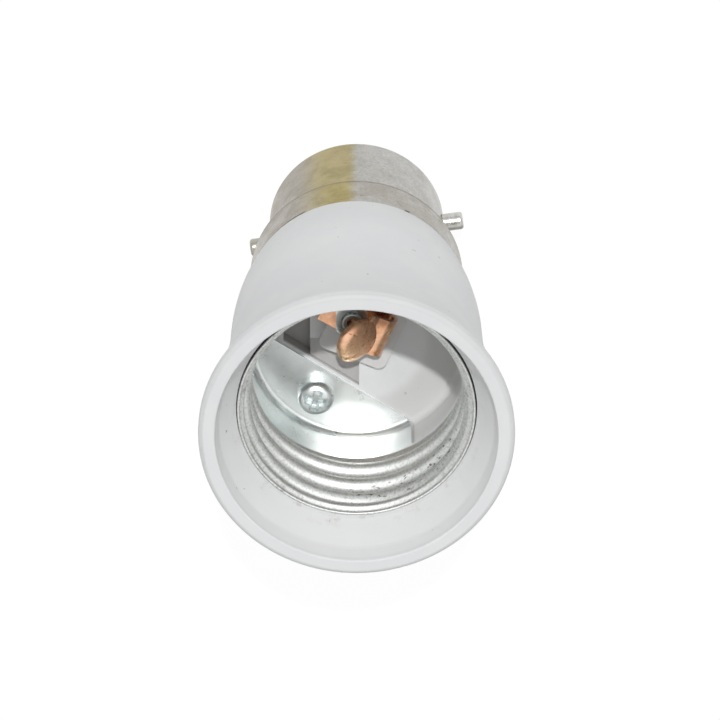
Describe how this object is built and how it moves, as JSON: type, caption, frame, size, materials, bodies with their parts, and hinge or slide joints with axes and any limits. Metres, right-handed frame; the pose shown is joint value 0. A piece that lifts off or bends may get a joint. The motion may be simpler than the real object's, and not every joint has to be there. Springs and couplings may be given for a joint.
{
  "type": "lamp socket adapter",
  "caption": "Flared plastic adapter with a bayonet lamp cap below and a threaded metal lamp socket with a sprung centre contact above.",
  "frame": {"origin": "on the axis, in the plane of the cap's contact tips, on which the adapter stands", "axes": "+Z along the lamp's axis, out of the socket's mouth; the bayonet pins lie near X"},
  "size_m": [0.0356, 0.0356, 0.0593],
  "materials": {
    "white_plastic": "satin moulded white",
    "rolled_aluminium": "bright rolled sheet, grimy near the mouth",
    "zinc_steel": "bright zinc plate",
    "tag_brass": "plain stamped",
    "copper_wire": "bare copper",
    "contact_copper": "stamped copper, tarnished brown in places",
    "nickel_plate": "nickel plate, mottled, with a brassy streak",
    "pin_nickel": "bright nickel plate",
    "black_insulator": "pressed black insulator",
    "solder": "dull solder"
  },
  "bodies": {
    "root": {"housing": "white_plastic", "screw_shell": "rolled_aluminium", "shell_screw": "zinc_steel", "shell_nut": "zinc_steel", "shell_tag": "tag_brass", "shell_lead": "copper_wire", "centre_contact": "contact_copper", "rivet_plate": "zinc_steel", "contact_rivet": "zinc_steel", "contact_tag": "tag_brass", "contact_lead": "copper_wire", "bayonet_cap": "nickel_plate", "bayonet_pin_left": "pin_nickel", "bayonet_pin_right": "pin_nickel", "cap_insulator": "black_insulator", "shell_cap_contact": "tag_brass", "centre_cap_contact": "tag_brass", "shell_solder": "solder", "centre_solder": "solder"}
  },
  "joints": []
}
